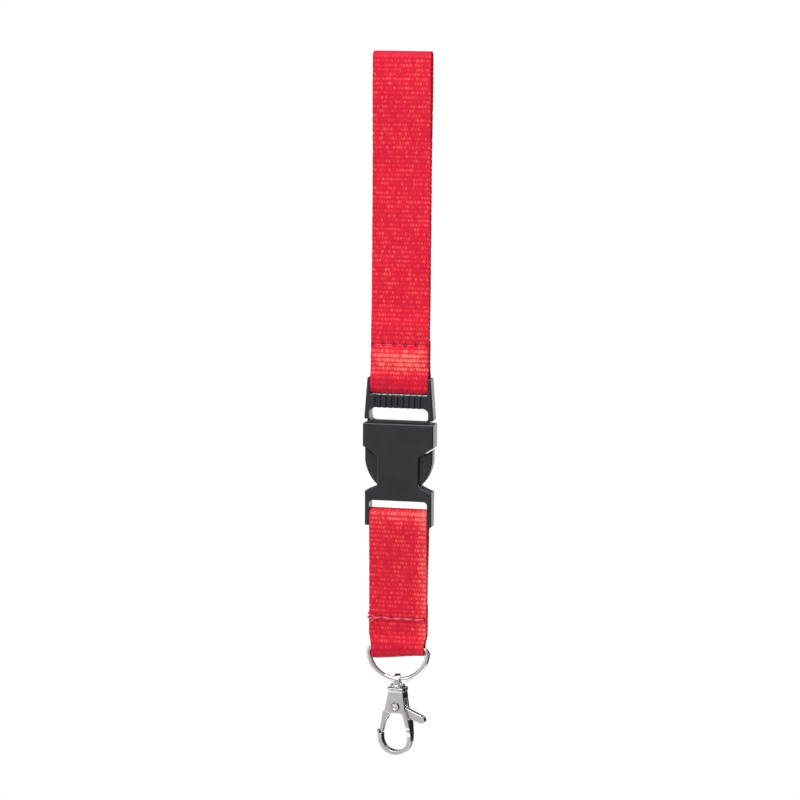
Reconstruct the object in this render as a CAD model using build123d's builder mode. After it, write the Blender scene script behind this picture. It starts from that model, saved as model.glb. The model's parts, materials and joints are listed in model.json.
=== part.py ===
from build123d import *
import os
from math import cos, radians, sin, sqrt

# A short hand lanyard: a closed loop of red webbing, a side-release buckle that parts
# it, a second short webbing loop, a D-ring, and a swivelling snap hook for the keys.
# Millimetres. It hangs along -Z from the inside of its top fold, which is the origin.
# The webbing's width lies along X, and the front faces -Y.

# ---- Driving dimensions ----

# Webbing, shared by both straps
strap_width = 19.5
strap_thick = 1.0
layer_gap = 0.08  # between layers that are sewn flat together
bar_gap = 0.2  # between the webbing and a bar that it wraps
side_gap = 0.15  # between two parts that lie or slide side by side
soft_bend = 11.0  # radius where a run of webbing turns a little
inner_end = 0.5  # the covered end stops this far above the outer one

# Hand strap, measured down from the inside of its top fold
hand_drop = 109.7  # to the axis of the plug's bar
fold_radius = 2.6  # inside of the open top fold
fold_depth = 12.0  # where the two runs start to close
touch_depth = 36.0  # where the two runs touch
sewn_length = 9.1  # of the three layers above the bar
sewn_rise = 6.1  # from a bar's axis to the start of the three layers
plug_side = 2.6  # of straight webbing beside the bar
settle_start = 4.5  # above the sewn layers, where the runs start to settle together
settle_end = 10.5

# Key strap
key_drop = 45.3  # socket bar to ring bar
key_sewn_length = 10.5
key_sewn_rise = 4.9
socket_side = 3.4
ring_side = 2.1
back_settle = 2.0  # above the sewn layers, where the back run starts to open
front_settle = 5.0
ring_draw_in = 0.8  # each edge is drawn in where the webbing passes through the ring
taper_length = 4.8

# Seams
stitch_length = 3.7
stitch_count = 5
upper_seam_share = 0.85  # of the sewn length, from its lower end
lower_seam_share = 0.53
thread_radius = 0.2
needle_radius = 0.26
thread_gap = 0.02

# Buckle
bar_radius = 1.3
bar_overlap = 0.15  # of a bar's ends with the rails
body_thick = 6.8
plate_thick = 1.1  # front and back plates of the socket
slide_gap = 0.2  # between what slides in the socket and its plates
edge_round = 0.5

# Plug, measured down from its bar's axis
rail_rise = 3.0
plug_rail_top = 0.85
plug_rail_low = 1.9
grip_room = 0.7  # between the webbing round the bar and the grip
grip_height = 3.9
grip_recess = 0.9
rib_pitch = 1.95
rib_width = 1.05
rib_height = 0.7
rib_count = 8
window_height = 4.5
window_flare = 0.15  # each side, past the opening for the webbing
window_round = 1.7
shoulder_drop = 11.0  # lower end of the frame's sides
mouth_drop = 12.2  # where the socket begins
base_depth = 3.0  # of the plug's base inside the socket
prong_width = 4.4
prong_stop = 2.6  # from the prong's end to the end of the socket's cavity
arm_width = 1.8
arm_root_inset = 0.7  # of the middle of an arm's root from the socket's waist
arm_swell = 0.2
arm_inner_rise = 4.3
arm_inner_step = 0.3

# Socket, measured down from its mouth
socket_flare = 2.1  # each side, past the opening for the webbing
socket_wall = 1.2
wing_height = 7.8  # of the wide part at its outer edge
wing_slope = 3.1  # how much further down it reaches at the waist
wing_reach = 4.9  # past the waist
socket_bar_drop = 31.2
slot_room = 2.7  # between the webbing round the bar and the opening's upper edge
slot_round = 1.2
waist_to_slot = 4.9
corner_to_slot = 3.0
socket_rail = 1.45
rail_fall = 3.4  # of the rails past the bar's axis

# Barbs of the plug's arms
barb_inset = 0.5  # of a barb from the socket's outer edge
barb_start = 1.4  # from the arm's outer side to the barb's shoulder
barb_gap = 0.35  # between a barb's shoulder and the edge that it catches on
barb_height = 3.9
barb_bulge_out = 0.7  # shares of the way along the barb's outer curve
barb_bulge_down = 0.52
barb_tip_stop = 0.6  # from the barb's tip to the end of the socket's cavity
barb_tip_out = 0.5  # of the tip past the waist
barb_foot_width = 0.8
barb_foot_rise = 0.4

# D-ring
ring_wire = 1.7
ring_room = 1.2  # from the webbing's edge to the wire's axis at the bar's ends
ring_stretch = 0.45  # how much deeper it is than half its width
ring_corner = 1.5

# Swivel eye
eye_hole = 1.25  # radius
eye_wall = 1.15
eye_thick = 2.2
eye_seat = 0.1  # left between the wire and the top of the hole
eye_floor = 0.05  # between the hole and the base disc
eye_base = 0.6
eye_base_radius = 2.6
post_radius = 0.9
post_gap = 0.15
head_radius = 1.45
head_thick = 1.0
swivel_gap = 0.25

# Snap hook, measured down from the top of its flange
hook_turn = -8.0  # degrees about the swivel, seen from above
flange_edge = 0.55  # past the body's sides
flange_lip = 0.4  # past its front and back
flange_round = 1.6
flange_thick = 1.15
roof_drop = 2.05  # underside of the roof that carries the post's head
body_top_width = 5.1
body_low_width = 8.0
cheek = 1.2
cheek_slot_top = 3.8
cheek_slot_low = 10.65
pivot_drop = 6.4
body_low_left = 8.0
body_drop = 8.7
arm_bend_drop = 7.3
arm_bend_reach = 3.4
bow_drop = 17.3
bow_offset = -0.65
bow_radius = 6.05
bow_width = 1.5
bow_depth = 2.6
depth_taper_top = 10.7
depth_taper_low = 14.0
nose_floor = 16.3
nose_top = 14.9
lip_width = 0.7
lip_lean = 0.15

# Gate and its trigger, measured from the rivet
gate_thick = 2.2
gate_gap = 0.2  # between the gate and each cheek
gate_back = ((-1.5, 1.5), (-5.1, -2.2))
gate_tip = ((0.6, 0.4), (0.8, -0.6), (1.6, -0.9))  # measured from the nose's outer corner
gate_inside = ((-4.2, -5.6), (-2.7, -3.3), (-0.5, -2.0))
trigger_outline = ((1.0, 0.4), (9.9, -3.2), (10.2, -4.1), (9.1, -5.6), (0.6, -2.6))
rivet_radius = 0.75
rivet_gap = 0.03
pivot_gap = 0.1
rivet_head_radius = 1.6
rivet_head_height = 0.45
rivet_head_taper = 25.0  # degrees
spring_wire = 0.15
spring_height = 1.0
spring_gap = 0.25  # from the rivet to the spring
pocket_gap = 0.3
pocket_play = 0.05
hub_wall = 0.5

# ---- Places that follow from them ----

layer_step = strap_thick + layer_gap
half_width = strap_width / 2
opening_half = half_width + side_gap
wrap_out = bar_radius + bar_gap + strap_thick
frame_thick = 2 * wrap_out
plug_top_width = 2 * (opening_half + plug_rail_top)
plug_low_width = 2 * (opening_half + plug_rail_low)
grip_top = wrap_out + grip_room
window_width = 2 * (opening_half + window_flare)
socket_width = 2 * (opening_half + socket_flare)
socket_frame_width = 2 * (opening_half + socket_rail)
neck_width = socket_width - 2 * (socket_wall + side_gap)
waist_width = socket_width - 2 * wing_reach
slot_drop = socket_bar_drop - wrap_out - slot_room
waist_end = slot_drop - waist_to_slot
frame_corner = slot_drop - corner_to_slot
prong_length = waist_end - prong_stop - base_depth
arm_root = waist_width / 2 - arm_root_inset
barb_reach = socket_width / 2 - barb_inset
barb_tip_drop = waist_end - barb_tip_stop
barb_tip_reach = waist_width / 2 + barb_tip_out
ring_fold_width = strap_width - 2 * ring_draw_in
ring_reach = ring_fold_width / 2 + ring_room
ring_drop = ring_reach + ring_stretch
cheek_slot = gate_thick + 2 * gate_gap
body_depth = cheek_slot + 2 * cheek
flange_width = body_top_width + 2 * flange_edge
flange_depth = body_depth + 2 * flange_lip
spring_radius = rivet_radius + spring_gap + spring_wire
spring_pocket_radius = spring_radius + spring_wire + pocket_gap
spring_pocket_width = spring_height + 2 * spring_wire + pocket_play
hub_radius = spring_pocket_radius + hub_wall

plug_bar_z = -hand_drop
mouth_z = plug_bar_z - mouth_drop
socket_bar_z = mouth_z - socket_bar_drop
ring_bar_z = socket_bar_z - key_drop
ring_low_z = ring_bar_z - ring_drop
eye_hole_z = ring_low_z - (eye_hole - ring_wire / 2 - eye_seat)
eye_low_z = eye_hole_z - eye_hole - eye_floor - eye_base
flange_z = eye_low_z - swivel_gap
pivot_z = flange_z - pivot_drop
upper_seam_z = plug_bar_z + sewn_rise + sewn_length * upper_seam_share
lower_seam_z = ring_bar_z + key_sewn_rise + key_sewn_length * lower_seam_share

turn = radians(hook_turn)
hook_right = (cos(turn), sin(turn), 0)
hook_back = (-sin(turn), cos(turn), 0)
hook_front = Plane(origin=(0, 0, 0), x_dir=hook_right, z_dir=(sin(turn), -cos(turn), 0))
hook_side = Plane(origin=(0, 0, 0), x_dir=hook_back, z_dir=hook_right)

os.makedirs("parts", exist_ok=True)


def save(piece, name):
    """Labels a finished piece and writes its STEP file."""
    piece.part.label = name
    export_step(piece.part, f"parts/{name}.step")


# ---- Hand strap: one strip, folded at the top, round the plug's bar, and sewn in three layers ----

sewn_z = plug_bar_z + sewn_rise
sewn_top_z = sewn_z + sewn_length
wrap = bar_radius + bar_gap + strap_thick / 2
fold = fold_radius + strap_thick / 2
with BuildPart() as hand_strap:
    with BuildSketch(Plane.YZ):
        with BuildLine():
            FilletPolyline(
                (0, sewn_z),
                (0, sewn_top_z + settle_start),
                (layer_step / 2, sewn_top_z + settle_end),
                (layer_step / 2, -touch_depth),
                (fold, -fold_depth),
                (fold, -fold_radius),
                radius=soft_bend,
            )
            CenterArc((0, -fold_radius), fold, 0, 180)
            FilletPolyline(
                (-fold, -fold_radius),
                (-fold, -fold_depth),
                (-layer_step / 2, -touch_depth),
                (-layer_step / 2, sewn_top_z + settle_end),
                (-layer_step, sewn_top_z + settle_start),
                (-layer_step, sewn_z),
                (-wrap, plug_bar_z + plug_side),
                (-wrap, plug_bar_z),
                radius=soft_bend,
            )
            CenterArc((0, plug_bar_z), wrap, 180, 180)
            FilletPolyline(
                (wrap, plug_bar_z),
                (wrap, plug_bar_z + plug_side),
                (layer_step, sewn_z),
                (layer_step, sewn_top_z),
                radius=soft_bend,
            )
        trace(line_width=strap_thick)
    extrude(amount=half_width, both=True)
    with BuildSketch(Plane.XZ):
        with Locations((0, upper_seam_z)):
            with GridLocations(stitch_length, 0, stitch_count + 1, 1):
                Circle(needle_radius)
    extrude(amount=2 * strap_thick, both=True, mode=Mode.SUBTRACT)
save(hand_strap, "hand_strap")


# ---- Key strap: over the socket's bar, down round the D-ring's bar, and sewn in three layers ----

key_sewn_z = ring_bar_z + key_sewn_rise
key_sewn_top_z = key_sewn_z + key_sewn_length
ring_wrap = ring_wire / 2 + bar_gap + strap_thick / 2
with BuildPart() as key_strap:
    with BuildSketch(Plane.YZ):
        with BuildLine():
            FilletPolyline(
                (0, key_sewn_z + inner_end),
                (0, key_sewn_top_z + back_settle),
                (wrap, socket_bar_z - socket_side),
                (wrap, socket_bar_z),
                radius=soft_bend,
            )
            CenterArc((0, socket_bar_z), wrap, 0, 180)
            FilletPolyline(
                (-wrap, socket_bar_z),
                (-wrap, socket_bar_z - socket_side),
                (-layer_step, key_sewn_top_z + front_settle),
                (-layer_step, key_sewn_z),
                (-ring_wrap, ring_bar_z + ring_side),
                (-ring_wrap, ring_bar_z),
                radius=soft_bend,
            )
            CenterArc((0, ring_bar_z), ring_wrap, 180, 180)
            FilletPolyline(
                (ring_wrap, ring_bar_z),
                (ring_wrap, ring_bar_z + ring_side),
                (layer_step, key_sewn_z),
                (layer_step, key_sewn_top_z),
                radius=soft_bend,
            )
        trace(line_width=strap_thick)
    extrude(amount=half_width, both=True)
    # Its edges draw in towards the ring.
    key_top = socket_bar_z + wrap + strap_thick
    key_low = ring_bar_z - ring_wrap - strap_thick / 2
    narrow_z = ring_bar_z + ring_wire / 2 + bar_gap
    with BuildSketch(Plane.XZ):
        with BuildLine():
            Polyline(
                (-half_width, key_top),
                (-half_width, narrow_z + taper_length),
                (-ring_fold_width / 2, narrow_z),
                (-ring_fold_width / 2, key_low),
                (ring_fold_width / 2, key_low),
                (ring_fold_width / 2, narrow_z),
                (half_width, narrow_z + taper_length),
                (half_width, key_top),
                close=True,
            )
        make_face()
    extrude(amount=wrap + strap_thick, both=True, mode=Mode.INTERSECT)
    with BuildSketch(Plane.XZ):
        with Locations((0, lower_seam_z)):
            with GridLocations(stitch_length, 0, stitch_count + 1, 1):
                Circle(needle_radius)
    extrude(amount=2 * strap_thick, both=True, mode=Mode.SUBTRACT)
save(key_strap, "key_strap")


# ---- Seams: a thread on the front and one on the back of three layers, meeting in the needle holes ----

thread_out = layer_step + strap_thick / 2 + thread_gap + thread_radius
for name, seam_z in (("upper_seam_thread", upper_seam_z), ("lower_seam_thread", lower_seam_z)):
    with BuildPart() as seam_thread:
        for side in (-1, 1):
            with BuildSketch(Plane.YZ):
                with Locations((side * thread_out, seam_z)):
                    Circle(thread_radius)
            extrude(amount=stitch_length * stitch_count / 2 + thread_radius, both=True)
            with BuildSketch(Plane.XZ.offset(-side * thread_out)):
                with Locations((0, seam_z)):
                    with GridLocations(stitch_length, 0, stitch_count + 1, 1):
                        Circle(thread_radius)
            extrude(amount=side * (thread_out - thread_gap))
    save(seam_thread, name)


# ---- Plug: a frame with two rails and a bar for the strap, a ribbed grip, a window and the base ----

frame_half = frame_thick / 2
slide_half = body_thick / 2 - plate_thick - slide_gap
plug_top_z = plug_bar_z + rail_rise
grip_z = plug_bar_z - grip_top
grip_low_z = grip_z - grip_height
window_z = grip_low_z - window_height / 2
shoulder_z = plug_bar_z - shoulder_drop
base_low_z = mouth_z - base_depth
with BuildPart() as buckle_plug:
    with BuildSketch(Plane.XZ):
        with BuildLine():
            Polyline(
                (-plug_low_width / 2, shoulder_z),
                (-plug_top_width / 2, plug_top_z),
                (plug_top_width / 2, plug_top_z),
                (plug_low_width / 2, shoulder_z),
                close=True,
            )
        make_face()
    extrude(amount=frame_half, both=True)
    fillet(buckle_plug.edges().filter_by(Axis.Y), radius=edge_round)
    fillet(buckle_plug.faces().filter_by(Axis.Y).edges(), radius=edge_round)
    with BuildSketch(Plane.XZ):
        with Locations((0, (shoulder_z + base_low_z + edge_round) / 2)):
            Rectangle(neck_width, shoulder_z + edge_round - base_low_z)
    extrude(amount=slide_half, both=True)
    with BuildSketch(Plane.XZ):
        with Locations((0, (plug_top_z + grip_z) / 2)):
            Rectangle(2 * opening_half, plug_top_z - grip_z)
        with Locations((0, window_z)):
            RectangleRounded(window_width, window_height, window_round)
    extrude(amount=frame_thick, both=True, mode=Mode.SUBTRACT)
    with BuildSketch(Plane.YZ):
        with Locations((0, plug_bar_z)):
            Circle(bar_radius)
    extrude(amount=opening_half + bar_overlap, both=True)
    # The grip is set back between the rails, and its ribs stand up from it.
    for side in (-1, 1):
        with BuildSketch(Plane.XZ.offset(side * frame_half)):
            with Locations((0, (grip_z + grip_low_z) / 2)):
                Rectangle(rib_pitch * rib_count + rib_width, grip_height)
        extrude(amount=-side * grip_recess, mode=Mode.SUBTRACT)
    with BuildSketch(Plane.XY.offset(grip_low_z)):
        with GridLocations(rib_pitch, 0, rib_count, 1):
            SlotOverall(frame_thick - 2 * (grip_recess - rib_height), rib_width, rotation=90)
    extrude(amount=grip_height)
    # The prong between the arms keeps the plug straight in the socket.
    with BuildSketch(Plane.XZ):
        with Locations((0, base_low_z - prong_length / 2)):
            Rectangle(prong_width, prong_length)
    extrude(amount=slide_half - plate_thick / 2, both=True)
    tip = buckle_plug.faces().sort_by(Axis.Z)[0]
    chamfer(tip.edges(), length=prong_width / 4)
save(buckle_plug, "buckle_plug")


# ---- Arms of the plug: moulded in one with it, and hinged here at the root where they bend ----

wing_z = mouth_z - wing_height
slope = wing_slope / (socket_width / 2 - waist_width / 2)
arm_pivot_z = base_low_z - arm_width / 2 - thread_gap
arm_half = slide_half - thread_gap


def wing_edge(x):
    """Height of the socket's catching edge at a distance x from the middle."""
    return wing_z - (socket_width / 2 - x) * slope


shoulder_gap = barb_gap * sqrt(1 + slope**2)
barb_in = arm_root + arm_width / 2 + barb_start
barb_z = wing_edge(barb_reach) - shoulder_gap - barb_height
barb_tip_z = mouth_z - barb_tip_drop
bulge_x = barb_bulge_out * barb_reach + (1 - barb_bulge_out) * barb_tip_reach
bulge_z = barb_bulge_down * barb_tip_z + (1 - barb_bulge_down) * barb_z
for side, name in ((-1, "plug_arm_left"), (1, "plug_arm_right")):
    with BuildPart() as plug_arm:
        with BuildSketch(Plane.XZ):
            with BuildLine():
                Polyline(
                    (side * (arm_root + arm_width / 2), arm_pivot_z),
                    (side * barb_in, wing_edge(barb_in) - shoulder_gap),
                    (side * barb_reach, wing_edge(barb_reach) - shoulder_gap),
                    (side * barb_reach, barb_z),
                )
                ThreePointArc(
                    (side * barb_reach, barb_z),
                    (side * bulge_x, bulge_z),
                    (side * barb_tip_reach, barb_tip_z),
                )
                Polyline(
                    (side * barb_tip_reach, barb_tip_z),
                    (side * (barb_tip_reach - barb_foot_width), barb_tip_z + barb_foot_rise),
                    (side * (barb_tip_reach - arm_inner_step), barb_tip_z + arm_inner_rise),
                    (side * (arm_root + arm_swell), wing_z - wing_slope),
                    (side * (arm_root - arm_width / 2), arm_pivot_z),
                    (side * (arm_root + arm_width / 2), arm_pivot_z),
                )
            make_face()
            with Locations((side * arm_root, arm_pivot_z)):
                Circle(arm_width / 2)
        extrude(amount=arm_half, both=True)
        face_edges = plug_arm.faces().filter_by(Axis.Y).edges()
        barb_edges = [edge for edge in face_edges if abs(edge.center().X) > barb_tip_reach + 2 * edge_round]
        fillet(barb_edges, radius=edge_round)
    save(plug_arm, name)


# ---- Socket: a flat hollow body with open sides at the barbs, and a frame and bar for the key strap ----

body_half = body_thick / 2
waist_top_z = wing_z - wing_slope
waist_end_z = mouth_z - waist_end
frame_corner_z = mouth_z - frame_corner
slot_z = mouth_z - slot_drop
rail_end_z = socket_bar_z - rail_fall
with BuildPart() as buckle_socket:
    with BuildSketch(Plane.XZ):
        with BuildLine():
            Polyline(
                (0, mouth_z),
                (socket_width / 2, mouth_z),
                (socket_width / 2, wing_z),
                (waist_width / 2, waist_top_z),
                (waist_width / 2, waist_end_z),
                (socket_frame_width / 2, frame_corner_z),
                (socket_frame_width / 2, rail_end_z),
                (0, rail_end_z),
            )
            mirror(about=Plane.YZ)
        make_face()
    extrude(amount=body_half, both=True)
    # The body thins towards its frame.
    with BuildSketch(Plane.YZ):
        with BuildLine():
            Polyline(
                (-body_half, mouth_z),
                (-body_half, waist_end_z + edge_round),
                (-frame_half, slot_z + edge_round),
                (-frame_half, rail_end_z),
                (frame_half, rail_end_z),
                (frame_half, slot_z + edge_round),
                (body_half, waist_end_z + edge_round),
                (body_half, mouth_z),
                close=True,
            )
        make_face()
    extrude(amount=socket_width, both=True, mode=Mode.INTERSECT)
    fillet(buckle_socket.edges().filter_by(Axis.Y), radius=edge_round)
    flats = [face for face in buckle_socket.faces() if abs(face.normal_at().Y) > 0.9]
    fillet([edge for face in flats for edge in face.edges()], radius=edge_round)
    # The cavity for the plug breaks out at the sides below the wide part, where the barbs spring out.
    with BuildSketch(Plane.XZ):
        with Locations((0, (mouth_z + waist_end_z) / 2)):
            Rectangle(socket_width - 2 * socket_wall, mouth_z - waist_end_z)
    extrude(amount=body_half - plate_thick, both=True, mode=Mode.SUBTRACT)
    # The opening for the key strap, which its bar crosses.
    with BuildSketch(Plane.XZ):
        with Locations((0, (slot_z + rail_end_z) / 2)):
            Rectangle(2 * opening_half, slot_z - rail_end_z)
    extrude(amount=body_half, both=True, mode=Mode.SUBTRACT)
    upright_edges = buckle_socket.edges().filter_by(Axis.Y)
    slot_corners = upright_edges.filter_by_position(Axis.Z, slot_z - thread_gap, slot_z + thread_gap)
    fillet(slot_corners, radius=slot_round)
    with BuildSketch(Plane.YZ):
        with Locations((0, socket_bar_z)):
            Circle(bar_radius)
    extrude(amount=opening_half + bar_overlap, both=True)
save(buckle_socket, "buckle_socket")


# ---- D-ring: round wire bent to a D, its straight bar inside the key strap's lower fold ----

ring_radius = (ring_reach**2 + ring_drop**2) / (2 * ring_drop)
ring_centre_z = ring_low_z + ring_radius
ring_mid = ring_radius * sqrt(0.5)
with BuildPart() as d_ring:
    with BuildLine(Plane.XZ):
        Line((0, ring_bar_z), (ring_reach, ring_bar_z))
        ThreePointArc((ring_reach, ring_bar_z), (ring_mid, ring_centre_z - ring_mid), (0, ring_low_z))
        fillet(vertices().sort_by(Axis.X)[-1], radius=ring_corner)
    with BuildSketch(Plane.YZ):
        with Locations((0, ring_bar_z)):
            Circle(ring_wire / 2)
    sweep()
    mirror(about=Plane.YZ)
save(d_ring, "d_ring")


# ---- Swivel eye: a flat loop on the ring, with a base disc and a post whose end is peened to a head ----

eye_outer = eye_hole + eye_wall
base_top_z = eye_low_z + eye_base
with BuildPart() as swivel_eye:
    with BuildSketch(Plane.YZ):
        with Locations((0, eye_hole_z)):
            Circle(eye_outer)
        with Locations((0, (eye_hole_z + eye_low_z) / 2)):
            Rectangle(2 * eye_outer, eye_hole_z - eye_low_z)
        with Locations((0, eye_low_z - eye_outer)):
            Rectangle(2 * eye_outer, 2 * eye_outer, mode=Mode.SUBTRACT)
    extrude(amount=eye_thick / 2, both=True)
    loop_edges = swivel_eye.faces().filter_by(Axis.X).edges()
    upper_edges = loop_edges.filter_by_position(Axis.Z, base_top_z, eye_hole_z + 2 * eye_outer)
    fillet(upper_edges, radius=eye_thick / 5)
    with BuildSketch(Plane.YZ):
        with Locations((0, eye_hole_z)):
            Circle(eye_hole)
    extrude(amount=eye_thick, both=True, mode=Mode.SUBTRACT)
    with BuildSketch(Plane.XY.offset(eye_low_z)):
        Circle(eye_base_radius)
    extrude(amount=eye_base)
    with BuildSketch(Plane.XY.offset(eye_low_z)):
        Circle(post_radius)
    post_length = swivel_gap + roof_drop + post_gap + head_thick
    extrude(amount=-post_length)
    with BuildSketch(Plane.XY.offset(eye_low_z - post_length)):
        Circle(head_radius)
    extrude(amount=head_thick)
save(swivel_eye, "swivel_eye")


# ---- Hook body: a flange, two cheeks for the gate, and a bow that ends in a nose ----

body_top_z = flange_z - flange_thick
cheek_low_z = flange_z - body_drop
bow_z = flange_z - bow_drop
bow_right = bow_offset + bow_radius
bow_left = bow_offset - bow_radius
bow_inner = bow_radius - bow_width
bend_z = flange_z - arm_bend_drop
arm_run = bend_z - bow_z
arm_lean = bow_right - arm_bend_reach
arm_radius = (arm_lean**2 + arm_run**2) / (2 * arm_lean)
arm_centre = bow_right - arm_radius
arm_inner = arm_radius - bow_width


def on_arm(radius, z):
    """Place on the right arm's curve of that radius, at the height z."""
    return (arm_centre + sqrt(radius**2 - (z - bow_z) ** 2), z)


floor_z = flange_z - nose_floor
nose_z = flange_z - nose_top
half_depth = body_depth / 2
with BuildPart() as hook_body:
    with BuildSketch(hook_front):
        with BuildLine():
            Polyline(
                (-body_top_width / 2, body_top_z),
                (body_top_width / 2, body_top_z),
                on_arm(arm_radius, bend_z),
            )
            ThreePointArc(
                on_arm(arm_radius, bend_z), on_arm(arm_radius, (bend_z + bow_z) / 2), (bow_right, bow_z)
            )
            CenterArc((bow_offset, bow_z), bow_radius, 180, 180)
            Polyline(
                (bow_left, bow_z),
                (bow_left - lip_lean, nose_z),
                (bow_left - lip_lean + lip_width, nose_z),
                (bow_left + lip_width, floor_z),
                (bow_left + bow_width, floor_z),
                (bow_left + bow_width, bow_z),
            )
            CenterArc((bow_offset, bow_z), bow_inner, 180, 180)
            ThreePointArc(
                (bow_right - bow_width, bow_z),
                on_arm(arm_inner, (cheek_low_z + bow_z) / 2),
                on_arm(arm_inner, cheek_low_z),
            )
            Polyline(
                on_arm(arm_inner, cheek_low_z),
                (-on_arm(arm_inner, cheek_low_z)[0], cheek_low_z),
                (-body_low_width / 2, flange_z - body_low_left),
                (-body_top_width / 2, body_top_z),
            )
        make_face()
    extrude(amount=half_depth, both=True)
    # Seen from the side, the cheeks taper to the slimmer bow.
    with BuildSketch(hook_side):
        with BuildLine():
            Polyline(
                (half_depth, body_top_z),
                (half_depth, flange_z - depth_taper_top),
                (bow_depth / 2, flange_z - depth_taper_low),
                (bow_depth / 2, bow_z - bow_radius),
                (-bow_depth / 2, bow_z - bow_radius),
                (-bow_depth / 2, flange_z - depth_taper_low),
                (-half_depth, flange_z - depth_taper_top),
                (-half_depth, body_top_z),
                close=True,
            )
        make_face()
    extrude(amount=2 * bow_radius, both=True, mode=Mode.INTERSECT)
    with BuildSketch(Plane.XY.offset(body_top_z)):
        RectangleRounded(flange_width, flange_depth, flange_round, rotation=hook_turn)
    extrude(amount=flange_thick)
    # The post turns in the flange, and its head under the roof.
    with BuildSketch(Plane.XY.offset(flange_z)):
        Circle(post_radius + post_gap)
    extrude(amount=-roof_drop, mode=Mode.SUBTRACT)
    with BuildSketch(Plane.XY.offset(flange_z - roof_drop)):
        Circle(head_radius + post_gap)
    extrude(amount=-head_thick - 2 * post_gap - hub_radius, mode=Mode.SUBTRACT)
    # The slot between the cheeks, for the gate, its trigger and the spring.
    with BuildSketch(hook_front):
        with Locations((0, flange_z - (cheek_slot_top + cheek_slot_low) / 2)):
            Rectangle(2 * body_low_width, cheek_slot_low - cheek_slot_top)
    extrude(amount=cheek_slot / 2, both=True, mode=Mode.SUBTRACT)
    with BuildSketch(hook_front):
        with Locations((0, pivot_z)):
            Circle(rivet_radius + rivet_gap)
    extrude(amount=body_depth, both=True, mode=Mode.SUBTRACT)
save(hook_body, "hook_body")


# ---- Rivet: the gate's pin, with a dished head on each cheek ----

with BuildPart() as gate_rivet:
    with BuildSketch(hook_front):
        with Locations((0, pivot_z)):
            Circle(rivet_radius)
    extrude(amount=half_depth, both=True)
    for side in (-1, 1):
        with BuildSketch(hook_front.offset(side * half_depth)):
            with Locations((0, pivot_z)):
                Circle(rivet_head_radius)
        extrude(amount=side * rivet_head_height, taper=rivet_head_taper)
        with BuildSketch(hook_front.offset(side * (half_depth + rivet_head_height))):
            with Locations((0, pivot_z)):
                Circle(rivet_head_radius / 2)
        extrude(amount=-side * rivet_head_height / 2, mode=Mode.SUBTRACT)
save(gate_rivet, "gate_rivet")


# ---- Gate and trigger: one lever on the rivet, with a pocket in its hub for the spring ----

gate_outline = [(x, pivot_z + z) for x, z in gate_back]
gate_outline += [(bow_left + x, nose_z + z) for x, z in gate_tip]
gate_outline += [(x, pivot_z + z) for x, z in gate_inside]
with BuildPart() as gate_trigger:
    with BuildSketch(hook_front):
        with BuildLine():
            Polyline(gate_outline, close=True)
        make_face()
        with BuildLine():
            Polyline([(x, pivot_z + z) for x, z in trigger_outline], close=True)
        make_face()
        with Locations((0, pivot_z)):
            Circle(hub_radius)
    extrude(amount=gate_thick / 2, both=True)
    with BuildSketch(hook_front):
        with Locations((0, pivot_z)):
            Circle(rivet_radius + pivot_gap)
    extrude(amount=gate_thick, both=True, mode=Mode.SUBTRACT)
    with BuildSketch(hook_front):
        with Locations((0, pivot_z)):
            Circle(spring_pocket_radius)
        with Locations((0, pivot_z + hub_radius)):
            Rectangle(2 * spring_pocket_radius, 2 * hub_radius)
    extrude(amount=spring_pocket_width / 2, both=True, mode=Mode.SUBTRACT)
save(gate_trigger, "gate_trigger")


# ---- Gate spring: a small coil round the rivet, inside the hub ----

coil_start = hook_front.from_local_coords((0, pivot_z, -spring_height / 2))
with BuildPart() as gate_spring:
    with BuildLine():
        coil = Helix(
            spring_height / 3, spring_height, spring_radius, center=coil_start, direction=hook_front.z_dir
        )
    with BuildSketch(Plane(origin=coil @ 0, z_dir=coil % 0)):
        Circle(spring_wire)
    sweep(path=coil, is_frenet=True)
save(gate_spring, "gate_spring")
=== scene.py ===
# %% [markdown]
# # A hand lanyard, dressed in Blender
#
# The object is a short loop of red webbing with a side-release buckle, a second short loop of
# webbing, a D-ring and a swivelling snap hook. The imported CAD model is the frame. The buckle, the
# ring and the spring keep their CAD meshes and only need finishes. The straps and the thread are
# made again here, because a CAD solid of a strap is a smooth slab and real webbing is woven. The
# hook, its gate, its rivet and the eye are copied from their CAD shapes and get softer edges.
#
# Loading the frame comes first. The box of the whole CAD model is kept.

# %% Load the imported frame
import json
from math import atan2, ceil, cos, pi, radians, sin, tan

import bmesh
import bpy
import numpy as np
from mathutils import Matrix, Vector


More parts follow.
